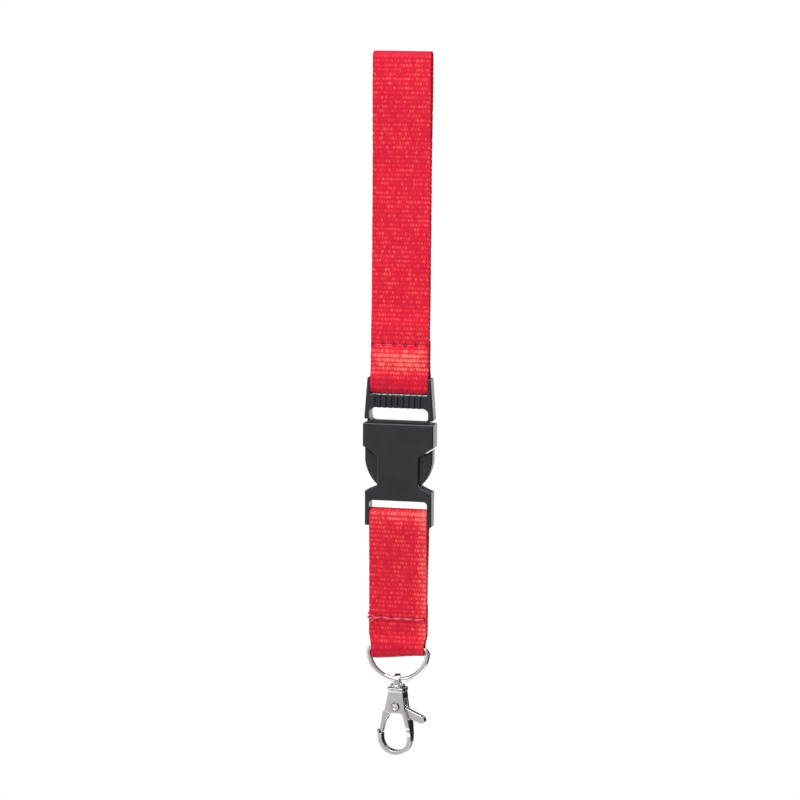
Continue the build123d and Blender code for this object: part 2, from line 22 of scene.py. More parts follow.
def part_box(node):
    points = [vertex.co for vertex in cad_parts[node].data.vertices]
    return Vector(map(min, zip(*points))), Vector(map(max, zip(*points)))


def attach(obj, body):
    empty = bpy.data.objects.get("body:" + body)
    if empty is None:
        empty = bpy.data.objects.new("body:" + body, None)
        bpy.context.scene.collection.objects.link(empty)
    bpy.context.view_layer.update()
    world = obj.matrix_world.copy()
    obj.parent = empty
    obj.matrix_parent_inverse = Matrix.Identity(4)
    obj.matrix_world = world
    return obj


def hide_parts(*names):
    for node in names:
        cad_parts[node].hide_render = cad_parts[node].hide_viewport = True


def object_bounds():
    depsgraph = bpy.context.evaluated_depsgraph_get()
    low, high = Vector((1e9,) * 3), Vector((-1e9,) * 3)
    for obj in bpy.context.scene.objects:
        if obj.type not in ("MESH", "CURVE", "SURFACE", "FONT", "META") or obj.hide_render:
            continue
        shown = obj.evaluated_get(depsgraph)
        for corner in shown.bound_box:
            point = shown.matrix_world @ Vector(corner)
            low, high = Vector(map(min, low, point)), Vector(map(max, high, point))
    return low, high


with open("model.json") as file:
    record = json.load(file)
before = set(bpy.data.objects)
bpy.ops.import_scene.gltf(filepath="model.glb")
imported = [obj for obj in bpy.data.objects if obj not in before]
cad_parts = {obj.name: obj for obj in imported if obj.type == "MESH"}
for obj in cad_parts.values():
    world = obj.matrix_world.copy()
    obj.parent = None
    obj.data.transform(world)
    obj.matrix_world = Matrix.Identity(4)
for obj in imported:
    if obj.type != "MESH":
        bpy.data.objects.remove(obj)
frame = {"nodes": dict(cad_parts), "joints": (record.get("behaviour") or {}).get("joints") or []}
cad_low, cad_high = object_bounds()
MM = 0.001
joints = {joint["name"]: joint for joint in frame["joints"]}
nodes = frame["nodes"]
print("CAD nodes:", ", ".join(sorted(nodes)))
print("CAD box in mm:", [round(v / MM, 1) for v in (*cad_low, *cad_high)])


# %% [markdown]
# ## Where things are
#
# The hinges of the two bars and of the ring are joints in the record, so their heights are read
# from there, and the webbing's width is the width of the strap's CAD node. The thickness of the
# webbing and how closely it wraps each bar are set here, close to those of the CAD model.

# %% Heights of the bars, and the webbing's sizes
def joint_height(name):
    """Height in metres of the point that a joint turns about."""
    return joints[name]["pos_m"][2]


plug_bar = joint_height("plug_swing")
socket_bar = joint_height("key_strap_swing")
ring_bar = joint_height("ring_swing")
half_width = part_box("hand_strap")[1].x
webbing_thick = 1.0 * MM
layer_step = webbing_thick + 0.08 * MM
bar_wrap = 2.0 * MM  # from a buckle bar's axis to the middle of the webbing round it
ring_wrap = 1.55 * MM  # the same for the ring's slimmer bar
print("webbing width", round(2 * half_width / MM, 2), "mm")
print("bars at", [round(z / MM, 1) for z in (plug_bar, socket_bar, ring_bar)], "mm")


# %% [markdown]
# ## Node helpers
#
# Materials and Geometry Nodes are both node trees. A few small helpers keep the later cells
# short: they put a value or a link on a socket, add a node with its settings, do a sum, and
# make a vector. A finish then reads like a recipe instead of like wiring.

# %% Small helpers for node trees
def feed(tree, socket, value):
    """Puts a plain value on a socket, or links another node's output to it."""
    if isinstance(value, bpy.types.NodeSocket):
        tree.links.new(value, socket)
    else:
        socket.default_value = value


def add(tree, kind, inputs=(), **settings):
    """Adds a node, sets its properties, and feeds its inputs by name or number."""
    node = tree.nodes.new(kind)
    for name, value in settings.items():
        setattr(node, name, value)
    for name, value in dict(inputs).items():
        feed(tree, node.inputs[name], value)
    return node


def calc(tree, operation, first, second=0.0):
    """A sum of one or two numbers, as a Math node's output."""
    return add(tree, "ShaderNodeMath", {0: first, 1: second}, operation=operation).outputs[0]


def product(tree, first, second):
    """Two numbers multiplied."""
    return calc(tree, "MULTIPLY", first, second)


def total(tree, first, second):
    """Two numbers added."""
    return calc(tree, "ADD", first, second)


def vector_of(tree, **parts):
    """A vector from its X, Y and Z, each a number or another node's output."""
    return add(tree, "ShaderNodeCombineXYZ", parts).outputs[0]


print("a product of nodes looks like product(tree, relief, 0.62)")


# %% [markdown]
# ## Helpers for finishes
#
# Every finish here is built from the same few parts: a noise for what is uneven, a bump for
# what is too fine to model, and a ramp that turns a number into a colour.

# %% Noise, bump, ramp and a new finish
def noise(tree, vector, scale, detail):
    """A Noise Texture's grey value, from 0 to 1."""
    inputs = {"Vector": vector, "Scale": scale, "Detail": detail}
    return add(tree, "ShaderNodeTexNoise", inputs).outputs[0]


def set_bump(tree, shader, height, strength, distance):
    """Bumps a finish by a height, without moving the mesh."""
    inputs = {"Height": height, "Strength": strength, "Distance": distance}
    feed(tree, shader.inputs["Normal"], add(tree, "ShaderNodeBump", inputs).outputs["Normal"])


def ramp(tree, value, stops):
    """A Color Ramp with stops as (place, colour)."""
    node = add(tree, "ShaderNodeValToRGB", {"Fac": value})
    elements = node.color_ramp.elements
    while len(elements) < len(stops):
        elements.new(0.5)
    for element, (place, colour) in zip(elements, stops):
        element.position = place
        element.color = (*colour, 1.0)
    return node.outputs["Color"]


def finish_of(name):
    """A new material with its tree and its Principled shader."""
    material = bpy.data.materials.new(name)
    material.use_nodes = True
    tree = material.node_tree
    return material, tree, tree.nodes["Principled BSDF"]


print("finishes so far:", len(bpy.data.materials))


# %% [markdown]
# ## The webbing's finish
#
# Red polyester webbing is dyed before it is woven. The colour is painted from an attribute, relief,
# that the weaving step below writes on each point of the mesh: a painted highlight makes the crowns of
# the yarns coral, where they catch the light, and painted shade makes the gaps between them a deep
# crimson. Each yarn is a bundle of filaments that run along the strap. The filaments are a fine bump
# on the piece's own UV map, which is in metres along and across the strap, so they stay straight round
# every fold.

# %% Webbing material
webbing_red, tree, shader = finish_of("webbing_red")
relief = add(tree, "ShaderNodeAttribute", attribute_name="relief").outputs["Fac"]
strap_uv = add(tree, "ShaderNodeUVMap", uv_map="strap_uv").outputs["UV"]
mottle = noise(tree, strap_uv, 1300.0, 2.0)
dye = noise(tree, strap_uv, 70.0, 3.0)
tone = total(tree, product(tree, relief, 0.62), product(tree, mottle, 0.4))
tone = total(tree, tone, product(tree, dye, 0.2))
# The ramp paints a highlight onto the crowns and shade into the gaps, and carries the painted
# highlight and shade that later cells add to the relief.
red = ramp(tree, tone, [
    (0.1, (0.36, 0.0005, 0.027)),
    (0.4, (0.67, 0.002, 0.031)),
    (0.58, (0.78, 0.009, 0.032)),
    (0.74, (0.87, 0.05, 0.064)),
    (0.98, (0.93, 0.2, 0.15)),
])
feed(tree, shader.inputs["Base Color"], red)
across = add(tree, "ShaderNodeSeparateXYZ", {0: strap_uv}).outputs["X"]
filament_pitch = 0.15 * MM
filament = calc(tree, "SINE", product(tree, across, 2 * pi / filament_pitch))
fuzz = total(tree, product(tree, filament, 0.35), mottle)
set_bump(tree, shader, fuzz, 0.35, 0.05 * MM)
feed(tree, shader.inputs["Roughness"], total(tree, product(tree, mottle, 0.25), 0.5))
shader.inputs["Specular IOR Level"].default_value = 0.25
shader.inputs["Sheen Weight"].default_value = 0.08
shader.inputs["Sheen Roughness"].default_value = 0.45
shader.inputs["Sheen Tint"].default_value = (1.0, 0.45, 0.42, 1.0)
print("made", webbing_red.name)


# %% [markdown]
# ## The sewing thread
#
# The seams are sewn with a thread of the same dye, a little lighter than the webbing because it
# stands up into the light. It is twisted from plies, so a slanting band runs round it. The band
# is a Wave Texture on Object coordinates, which is fine for stitches that all lie one way.

# %% Thread material
thread_red, tree, shader = finish_of("thread_red")
place = add(tree, "ShaderNodeTexCoord").outputs["Object"]
twist = (0.0, radians(35), 0.0)
slanted = add(tree, "ShaderNodeMapping", {"Vector": place, "Rotation": twist}).outputs["Vector"]
ply_inputs = {"Vector": slanted, "Scale": 900.0, "Distortion": 0.6}
ply = add(tree, "ShaderNodeTexWave", ply_inputs).outputs["Fac"]
red = ramp(tree, ply, [(0.0, (0.55, 0.012, 0.045)), (1.0, (0.88, 0.085, 0.15))])
feed(tree, shader.inputs["Base Color"], red)
set_bump(tree, shader, ply, 0.6, 0.05 * MM)
shader.inputs["Roughness"].default_value = 0.42
shader.inputs["Sheen Weight"].default_value = 0.3
print("made", thread_red.name)


# %% [markdown]
# ## The buckle's plastic
#
# The buckle is moulded in black acetal in a tool with a fine spark texture. It is charcoal more
# than black, with a broad soft shine. Two noises make it: a very fine one for the texture's
# bump, and a broad one that shifts the roughness, as handling does.

# %% Moulded plastic material
moulded_black, tree, shader = finish_of("moulded_black")
place = add(tree, "ShaderNodeTexCoord").outputs["Object"]
spark = noise(tree, place, 5200.0, 2.0)
handled = noise(tree, place, 160.0, 4.0)
charcoal = ramp(tree, handled, [(0.3, (0.014, 0.0135, 0.018)), (0.7, (0.021, 0.02, 0.026))])
feed(tree, shader.inputs["Base Color"], charcoal)
feed(tree, shader.inputs["Roughness"], total(tree, product(tree, handled, 0.14), 0.22))
set_bump(tree, shader, spark, 0.25, 0.03 * MM)
print("made", moulded_black.name)


# %% [markdown]
# ## Bright nickel, and spring steel
#
# The ring and the hook are cast or bent, tumbled, and plated with bright nickel. Plating is
# almost a mirror, but tumbling leaves soft dents, so reflections waver. A broad low bump gives
# that waver, and fine scratches come from a noise stretched a long way in one direction.

# %% Nickel and steel materials
def plated(name, colour, roughness, waver):
    """A plated or drawn metal with wavering reflections and faint scratches."""
    material, tree, shader = finish_of(name)
    place = add(tree, "ShaderNodeTexCoord").outputs["Object"]
    dents = noise(tree, place, 420.0, 1.0)
    stretch = {"Vector": place, "Scale": (1.0, 1.0, 0.12)}
    drawn = add(tree, "ShaderNodeMapping", stretch).outputs["Vector"]
    hairs = noise(tree, drawn, 9000.0, 2.0)
    tint = ramp(tree, dents, [(0.3, tuple(0.93 * c for c in colour)), (0.7, colour)])
    feed(tree, shader.inputs["Base Color"], tint)
    feed(tree, shader.inputs["Roughness"], total(tree, product(tree, hairs, 0.08), roughness))
    height = total(tree, dents, product(tree, hairs, 0.02))
    set_bump(tree, shader, height, waver, 0.25 * MM)
    shader.inputs["Metallic"].default_value = 1.0
    return material


nickel_colour = (0.80, 0.79, 0.775)
steel_colour = (0.50, 0.50, 0.51)
bright_nickel = plated("bright_nickel", nickel_colour, 0.07, 0.3)
spring_steel = plated("spring_steel", steel_colour, 0.22, 0.1)
print("made", bright_nickel.name, "and", spring_steel.name)


# %% [markdown]
# ## The line that a strap follows
#
# Seen from its edge, each strap is a line: it runs straight, turns a little where layers come
# together, and goes round bars in half circles. A half circle is only two square corners rounded
# by the bar's radius, so the whole line can be given as corners with a radius each. The helper
# below rounds the corners and returns close points along the line.

# %% Round the corners of a line
def rounded_line(corners, step=0.15 * MM):
    """Points along a line of (y, z, radius) corners, each corner rounded to its radius."""
    points = [Vector(corners[0][:2])]
    for before, here, after in zip(corners, corners[1:], corners[2:]):
        corner = Vector(here[:2])
        back = (Vector(before[:2]) - corner).normalized()
        ahead = (Vector(after[:2]) - corner).normalized()
        half_angle = back.angle(ahead) / 2
        if half_angle > radians(89.9):
            continue
        reach = here[2] / tan(half_angle)
        centre = corner + (back + ahead).normalized() * here[2] / sin(half_angle)
        start = corner + back * reach - centre
        end = corner + ahead * reach - centre
        turn = atan2(start.x * end.y - start.y * end.x, start.dot(end))
        count = max(2, ceil(abs(turn) * here[2] / step))
        for i in range(count + 1):
            points.append(centre + Matrix.Rotation(turn * i / count, 2) @ start)
    points.append(Vector(corners[-1][:2]))
    return [(0.0, p.x, p.y) for p in points]


def length_of(points):
    """Length of a line of points."""
    return sum((Vector(b) - Vector(a)).length for a, b in zip(points, points[1:]))


sample = rounded_line([(0, 0, 0), (10 * MM, 0, 2 * MM), (10 * MM, 10 * MM, 0)])
print("a 20 mm path with its corner rounded by 2 mm:", round(length_of(sample) / MM, 2), "mm")


# %% [markdown]
# ## Hand strap and key strap, as lines
#
# The hand strap is one strip. It starts in the middle of the sewn part, goes up the front, over
# the hand, down the back, round the plug's bar, and ends on the front of the sewn part, so three
# layers are sewn together. The key strap does the same between the socket's bar and the
# D-ring. A corner is (depth, height, radius). Heights are counted from the bar that a corner
# belongs to, and near the top of the loop from the origin, which is inside the top fold.

# %% Corners of the two straps
bend = 11 * MM  # radius of every soft bend
half_step = layer_step / 2
sewn_low = plug_bar + 6.1 * MM  # the three sewn layers, from here
sewn_high = sewn_low + 9.1 * MM  # to here
open_top = 1.5 * MM  # from the loop's middle to the middle of one layer, at the top
part_from = -36 * MM  # the two layers start to part here, on their way up
part_to = -12 * MM
top_middle = 0.5 * MM  # the strip's middle line, at the very top
into_bar = 2.6 * MM  # where the strip leaves its straight part to go round a buckle's bar
into_socket = 3.4 * MM
into_ring = 2.1 * MM
hand_corners = [
    (0, sewn_low, 0),
    (0, sewn_high + 4.5 * MM, bend),
    (half_step, sewn_high + 10.5 * MM, bend),
    (half_step, part_from, bend),
    (open_top, part_to, bend),
    (open_top, top_middle, open_top),
    (-open_top, top_middle, open_top),
    (-open_top, part_to, bend),
    (-half_step, part_from, bend),
    (-half_step, sewn_high + 10.5 * MM, bend),
    (-layer_step, sewn_high + 4.5 * MM, bend),
    (-layer_step, sewn_low, bend),
    (-bar_wrap, plug_bar + into_bar, bend / 2),
    (-bar_wrap, plug_bar - bar_wrap, bar_wrap),
    (bar_wrap, plug_bar - bar_wrap, bar_wrap),
    (bar_wrap, plug_bar + into_bar, bend / 2),
    (layer_step, sewn_low, bend),
    (layer_step, sewn_high, 0),
]
key_low = ring_bar + 4.9 * MM
key_high = key_low + 10.5 * MM
key_corners = [
    (0, key_low + 0.5 * MM, 0),
    (0, key_high + 2 * MM, bend),
    (bar_wrap, socket_bar - into_socket, bend),
    (bar_wrap, socket_bar + bar_wrap, bar_wrap),
    (-bar_wrap, socket_bar + bar_wrap, bar_wrap),
    (-bar_wrap, socket_bar - into_socket, bend),
    (-layer_step, key_high + 5 * MM, bend),
    (-layer_step, key_low, bend),
    (-ring_wrap, ring_bar + into_ring, bend / 2),
    (-ring_wrap, ring_bar - ring_wrap, ring_wrap),
    (ring_wrap, ring_bar - ring_wrap, ring_wrap),
    (ring_wrap, ring_bar + into_ring, bend / 2),
    (layer_step, key_low, bend),
    (layer_step, key_high, 0),
]
hand_line = rounded_line(hand_corners)
key_line = rounded_line(key_corners)
hand_length = length_of(hand_line)
key_length = length_of(key_line)
print("strip lengths in mm:", round(hand_length / MM, 1), round(key_length / MM, 1))


# %% [markdown]
# ## Curves that the weaving reads
#
# The weaving step needs two curves: the line of the strap, and its cross-section, which is a
# flat loop. Both are poly curves, which keep every point. The cross-section has four points for
# each yarn crown, which is close enough to show a crown wherever it wanders to.

# %% Line and cross-section as curves
crowns = 21
crown_pitch = 2 * half_width / crowns
steps_per_crown = 4


def poly_curve(name, points, closed=False):
    """A poly curve object through the points. It is removed when the weaving is done."""
    curve = bpy.data.curves.new(name, "CURVE")
    curve.dimensions = "3D"
    spline = curve.splines.new("POLY")
    spline.points.add(len(points) - 1)
    spline.points.foreach_set("co", [v for p in points for v in (*p, 1.0)])
    spline.use_cyclic_u = closed
    made = bpy.data.objects.new(name, curve)
    bpy.context.scene.collection.objects.link(made)
    return made


yarn_thick = 0.42 * MM  # half the webbing's body, without its crowns
face = np.linspace(-half_width, half_width, crowns * steps_per_crown + 1)
edge = 0.12 * MM  # how far the selvedge bulges past the flat faces
front = [(x, yarn_thick, 0.0) for x in face]
back = [(x, -yarn_thick, 0.0) for x in face[::-1]]
loop = front + [(half_width + edge, 0.0, 0.0)] + back + [(-half_width - edge, 0.0, 0.0)]
section = poly_curve("webbing_section", loop, closed=True)
lines = {
    "hand": poly_curve("hand_line", hand_line),
    "key": poly_curve("key_line", key_line),
}
print("cross-section of", len(loop), "points, crowns every", round(crown_pitch / MM, 3), "mm")


# %% [markdown]
# ## Weaving with Geometry Nodes
#
# A narrow-fabric loom makes rows of small crowns, and each row is shifted by half a crown from
# the last. That is a rule, so a node tree does it. The line is resampled to three steps for a
# row and swept with the cross-section. Each point then gets a height, which is the root of two
# sines multiplied, one across the strap and one along it. Odd rows are shifted before the sine
# is taken, a noise lets the crowns wander off their places, and a white noise makes some crowns
# lower than others. This cell starts the tree, as far as the swept strip.

# %% Start the weaving tree
def tree_with_inputs(name, sockets):
    """A Geometry Nodes tree with its inputs, and its group input and output nodes."""
    tree = bpy.data.node_groups.new(name, "GeometryNodeTree")
    for label, kind, value in sockets:
        socket = tree.interface.new_socket(label, in_out="INPUT", socket_type=kind)
        if value is not None:
            socket.default_value = value
    tree.interface.new_socket("Geometry", in_out="OUTPUT", socket_type="NodeSocketGeometry")
    return tree, add(tree, "NodeGroupInput"), add(tree, "NodeGroupOutput")


def close_tree(tree, result, given, out):
    """Ends a tree as every one here ends: smooth, real mesh, one material."""
    smooth = add(tree, "GeometryNodeSetShadeSmooth", {"Geometry": result})
    real = add(tree, "GeometryNodeRealizeInstances", {"Geometry": smooth.outputs[0]})
    paint = {"Geometry": real.outputs[0], "Material": given.outputs["Material"]}
    painted = add(tree, "GeometryNodeSetMaterial", paint)
    feed(tree, out.inputs[0], painted.outputs[0])


weave_tree, given, out = tree_with_inputs("weave_webbing", [
    ("Line", "NodeSocketObject", None),
    ("Section", "NodeSocketObject", None),
    ("Rows", "NodeSocketInt", 100),
    ("Row Pitch", "NodeSocketFloat", 1.5 * MM),
    ("Crown Pitch", "NodeSocketFloat", crown_pitch),
    ("Relief", "NodeSocketFloat", 0.1 * MM),
    ("Unevenness", "NodeSocketFloat", 0.3),
    ("Wander", "NodeSocketFloat", 1.0),
    ("Material", "NodeSocketMaterial", None),
])
tree = weave_tree
steps_per_row = 3.0
line = add(tree, "GeometryNodeObjectInfo", {"Object": given.outputs["Line"]}).outputs["Geometry"]
shape = add(tree, "GeometryNodeObjectInfo", {"Object": given.outputs["Section"]}).outputs["Geometry"]
count = total(tree, product(tree, given.outputs["Rows"], steps_per_row), 1.0)
resample = {"Curve": line, "Count": count}
even = add(tree, "GeometryNodeResampleCurve", resample, mode="COUNT").outputs[0]
along_node = add(tree, "GeometryNodeSplineParameter")
keep = add(tree, "GeometryNodeCaptureAttribute", domain="POINT")
keep.capture_items.new("FLOAT", "Along")
feed(tree, keep.inputs[0], even)
feed(tree, keep.inputs[1], along_node.outputs["Length"])
along = keep.outputs[1]
sweep = {"Curve": keep.outputs[0], "Profile Curve": shape, "Fill Caps": True}
swept = add(tree, "GeometryNodeCurveToMesh", sweep).outputs[0]
position = add(tree, "GeometryNodeInputPosition").outputs[0]
across = add(tree, "ShaderNodeSeparateXYZ", {0: position}).outputs["X"]
print("weaving tree has", len(tree.nodes), "nodes so far")


# %% [markdown]
# ## The height of each crown
#
# Counting along and across the strap in rows and crowns turns the weave into plain numbers. The
# whole part of the two counts names a crown, which is how one random value reaches all the
# points of that crown. The small nudge before the row is rounded down keeps a point that sits on
# the border between two rows out of the wrong one.

# %% Sums for the weave
border_nudge = 0.001
row = calc(tree, "DIVIDE", along, given.outputs["Row Pitch"])
odd = calc(tree, "MODULO", calc(tree, "FLOOR", total(tree, row, border_nudge)), 2.0)
crown = calc(tree, "DIVIDE", across, given.outputs["Crown Pitch"])
crown = total(tree, crown, product(tree, odd, 0.5))
on_strip = vector_of(tree, X=across, Y=along)
drift = noise(tree, on_strip, 420.0, 2.0)
wander = product(tree, calc(tree, "SUBTRACT", drift, 0.5), given.outputs["Wander"])
crown = total(tree, crown, wander)
wave_across = calc(tree, "ABSOLUTE", calc(tree, "SINE", product(tree, crown, pi)))
wave_along = calc(tree, "ABSOLUTE", calc(tree, "SINE", product(tree, row, pi)))
height = calc(tree, "SQRT", product(tree, wave_across, wave_along))
crown_id = vector_of(tree, X=calc(tree, "FLOOR", crown), Y=calc(tree, "FLOOR", row))
white_noise = add(tree, "ShaderNodeTexWhiteNoise", {"Vector": crown_id}, noise_dimensions="2D")
random_part = product(tree, white_noise.outputs["Value"], given.outputs["Unevenness"])
sure_part = calc(tree, "SUBTRACT", 1.0, given.outputs["Unevenness"])
height = product(tree, height, total(tree, random_part, sure_part))
print("weaving tree has", len(tree.nodes), "nodes so far")


# %% [markdown]
# ## Lift the crowns
#
# The height is stored for the material to read, together with a UV map in metres along and
# across the strap. Only then are the points moved, along their normals. A middle height stays in
# its place, so the strip keeps its thickness, with the crowns above it and the gaps below.

# %% Store what the material reads, move the points, and end the tree
def stored(tree, geometry, name, value, kind, domain):
    """Stores a value on a geometry as a named attribute."""
    inputs = {"Geometry": geometry, "Name": name, "Value": value}
    settings = {"data_type": kind, "domain": domain}
    return add(tree, "GeometryNodeStoreNamedAttribute", inputs, **settings).outputs[0]


middle_height = 0.45
with_uv = stored(tree, swept, "strap_uv", on_strip, "FLOAT2", "CORNER")
with_relief = stored(tree, with_uv, "relief", height, "FLOAT", "POINT")
above_middle = calc(tree, "SUBTRACT", height, middle_height)
lift = product(tree, above_middle, given.outputs["Relief"])
normal = add(tree, "GeometryNodeInputNormal").outputs[0]
offset = add(tree, "ShaderNodeVectorMath", {0: normal, "Scale": lift}, operation="SCALE").outputs[0]
moved = add(tree, "GeometryNodeSetPosition", {"Geometry": with_relief, "Offset": offset}).outputs[0]
close_tree(tree, moved, given, out)
print("weaving tree has", len(tree.nodes), "nodes")


# %% [markdown]
# ## From a tree to a plain mesh
#
# A modifier's result is turned into a plain mesh before the piece joins the model, so that
# nothing live is left on it. The helper puts a tree on an empty mesh, sets the inputs by their
# socket identifiers, evaluates it once, and keeps only the mesh.

# %% Run a tree once and keep its mesh
def grown(name, tree, values):
    """A plain mesh object made by a Geometry Nodes tree with these input values."""
    host = bpy.data.objects.new(name + "_host", bpy.data.meshes.new(name + "_host"))
    bpy.context.scene.collection.objects.link(host)
    modifier = host.modifiers.new("grow", "NODES")
    modifier.node_group = tree
    for item in tree.interface.items_tree:
        if item.in_out == "INPUT" and item.name in values:
            modifier[item.identifier] = values[item.name]
    host.update_tag()
    bpy.context.view_layer.update()
    graph = bpy.context.evaluated_depsgraph_get()
    mesh = bpy.data.meshes.new_from_object(
        host.evaluated_get(graph), preserve_all_data_layers=True, depsgraph=graph
    )
    mesh.name = name
    bpy.data.objects.remove(host)
    piece = bpy.data.objects.new(name, mesh)
    bpy.context.scene.collection.objects.link(piece)
    return piece


row_pitch = 1.5 * MM


def woven(name, line, length):
    """A strip of webbing along a line, with a whole number of rows."""
    rows = round(length / row_pitch)
    piece = grown(name, weave_tree, {
        "Line": line,
        "Section": section,
        "Rows": rows,
        "Row Pitch": length / rows,
        "Crown Pitch": crown_pitch,
        "Relief": 0.18 * MM,
        "Unevenness": 0.6,
        "Wander": 1.8,
        "Material": webbing_red,
    })
    triangles = sum(len(face.vertices) - 2 for face in piece.data.polygons)
    print(name, "rows:", rows, "triangles:", triangles)
    return piece


hand_webbing = woven("hand_webbing", lines["hand"], hand_length)
key_webbing = woven("key_webbing", lines["key"], key_length)


# %% [markdown]
# ## Seams
#
# A lockstitch shows as a row of short arches, each going into the webbing at a needle hole. The
# arches repeat, so a second tree makes them: a line of points, one arch on each, turned a
# little at random with a fixed seed, because no machine is perfect. The upper seam is pulled
# tight and sinks in. The lower one is sewn with thicker thread and stands up more. This cell
# makes the line of points and one arch.

# %% Start the stitching tree
stitch_tree, given, out = tree_with_inputs("sew_seam", [
    ("Stitches", "NodeSocketInt", 5),
    ("Pitch", "NodeSocketFloat", 3.7 * MM),
    ("Start", "NodeSocketVector", None),
    ("Rise", "NodeSocketFloat", 0.4 * MM),
    ("Thread Radius", "NodeSocketFloat", 0.2 * MM),
    ("Turn", "NodeSocketFloat", radians(4)),
    ("Seed", "NodeSocketInt", 7),
    ("Material", "NodeSocketMaterial", None),
])
tree = stitch_tree
pitch = given.outputs["Pitch"]
half_pitch = product(tree, pitch, 0.5)
step = vector_of(tree, X=pitch)
half_step_on = vector_of(tree, X=half_pitch)
to_middle = {0: given.outputs["Start"], 1: half_step_on}
first = add(tree, "ShaderNodeVectorMath", to_middle, operation="ADD").outputs[0]
places = {"Count": given.outputs["Stitches"], "Start Location": first, "Offset": step}
row_of_points = add(tree, "GeometryNodeMeshLine", places, mode="OFFSET").outputs[0]
left = vector_of(tree, X=product(tree, half_pitch, -1.0))
top = vector_of(tree, Y=given.outputs["Rise"])
ends = {"Resolution": 14, "Start": left, "Middle": top, "End": half_step_on}
arch = add(tree, "GeometryNodeCurveQuadraticBezier", ends).outputs[0]
circle = {"Resolution": 10, "Radius": given.outputs["Thread Radius"]}
round_thread = add(tree, "GeometryNodeCurvePrimitiveCircle", circle).outputs[0]
sweep = {"Curve": arch, "Profile Curve": round_thread, "Fill Caps": True}
one_stitch = add(tree, "GeometryNodeCurveToMesh", sweep).outputs[0]
print("stitching tree has", len(tree.nodes), "nodes so far")


# %% [markdown]
# ## Turn each stitch a little, and end the tree
#
# Random Value has sockets for several kinds of number, and only those of the chosen kind are
# switched on. So the least, the greatest and the result are found by asking which are on.

# %% One stitch on each point
turn = given.outputs["Turn"]
chance = add(tree, "FunctionNodeRandomValue", data_type="FLOAT")
least, greatest = [socket for socket in chance.inputs if socket.type == "VALUE" and socket.enabled][:2]
feed(tree, least, product(tree, turn, -1.0))
feed(tree, greatest, turn)
feed(tree, chance.inputs["Seed"], given.outputs["Seed"])
turned_by = next(socket for socket in chance.outputs if socket.enabled)
spin = vector_of(tree, Y=turned_by)
planting = {"Points": row_of_points, "Instance": one_stitch, "Rotation": spin}
sewn = add(tree, "GeometryNodeInstanceOnPoints", planting).outputs[0]
close_tree(tree, sewn, given, out)
print("stitching tree has", len(tree.nodes), "nodes")


# %% [markdown]
# ## Sew the two seams
#
# Each seam has a front and a back row. A row's start is the first needle hole, which sits just
# under the webbing's surface. The heights of the seams are the middles of the two CAD threads,
# read from their boxes.

# %% Sew, front and back
stitches = 5
stitch_pitch = 3.7 * MM
surface = layer_step + webbing_thick / 2


def seam(name, node, sunk, rise, thread, turn_by, seed):
    """Front and back stitches of one seam, at the height of its CAD thread, as one mesh."""
    low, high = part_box(node)
    seam_z = (low.z + high.z) / 2
    halves = []
    for side in (-1, 1):
        start = (-stitch_pitch * stitches / 2, side * (surface - sunk), seam_z)
        halves.append(grown(f"{name}_{side}", stitch_tree, {
            "Stitches": stitches,
            "Pitch": stitch_pitch,
            "Start": start,
            "Rise": side * rise,
            "Thread Radius": thread,
            "Turn": turn_by,
            "Seed": seed + side,
            "Material": thread_red,
        }))
    shell = bmesh.new()
    for half in halves:
        shell.from_mesh(half.data)
        bpy.data.objects.remove(half)
    mesh = bpy.data.meshes.new(name)
    shell.to_mesh(mesh)
    shell.free()
    mesh.materials.append(thread_red)
    piece = bpy.data.objects.new(name, mesh)
    bpy.context.scene.collection.objects.link(piece)
    print(name, "at", round(seam_z / MM, 2), "mm, faces", len(mesh.polygons))
    return piece, seam_z


upper_stitches, upper_seam = seam(
    "upper_stitches", "upper_seam_thread",
    sunk=0.6 * MM, rise=0.8 * MM, thread=0.18 * MM, turn_by=radians(4), seed=11,
)
lower_stitches, lower_seam = seam(
    "lower_stitches", "lower_seam_thread",
    sunk=1.0 * MM, rise=2.5 * MM, thread=0.36 * MM, turn_by=radians(13), seed=23,
)


# %% [markdown]
# ## A whipped end
#
# The lower seam was finished by hand: a few turns of the same thread go round the strap's left
# edge, uneven and a little slanted. Each turn is a closed loop of thread, an ellipse seen from
# above, swept with a round section.

# %% Turns of thread round the left edge
def thread_loop(shell, centre, reach, depth, slant, radius, around=40, sides=8):
    """Adds one closed loop of thread, lying nearly level, to a bmesh."""
    upward = Vector((0, 0, 1))
    rings = []
    for i in range(around):
        a = 2 * pi * i / around
        middle = centre + Vector((reach * cos(a), depth * sin(a), slant * cos(a)))
        out = Vector((cos(a) * depth, sin(a) * reach, 0)).normalized()
        ring = []
        for j in range(sides):
            b = 2 * pi * j / sides
            ring.append(shell.verts.new(middle + radius * (out * cos(b) + upward * sin(b))))
        rings.append(ring)
    for ring, following in zip(rings, rings[1:] + rings[:1]):
        for j in range(sides):
            k = (j + 1) % sides
            shell.faces.new((ring[j], following[j], following[k], ring[k])).smooth = True


whipping = (  # height over the seam, reach from the middle of a turn, and slant, in mm
    (-1.1, 1.3, 0.5),
    (-0.45, 1.7, -0.35),
    (0.1, 1.2, 0.3),
    (0.75, 1.6, -0.55),
)
whip_in = 0.95 * MM  # from the strap's edge to the middle of a turn
whip_thread = 0.24 * MM
whip_depth = surface + 0.22 * MM
shell = bmesh.new()
shell.from_mesh(lower_stitches.data)
for height, reach, slant in whipping:
    centre = Vector((-half_width + whip_in, 0, lower_seam + height * MM))
    thread_loop(shell, centre, reach * MM, whip_depth, slant * MM, whip_thread)
bmesh.ops.recalc_face_normals(shell, faces=shell.faces)
shell.to_mesh(lower_stitches.data)
shell.free()
print("lower stitches now have", len(lower_stitches.data.polygons), "faces")
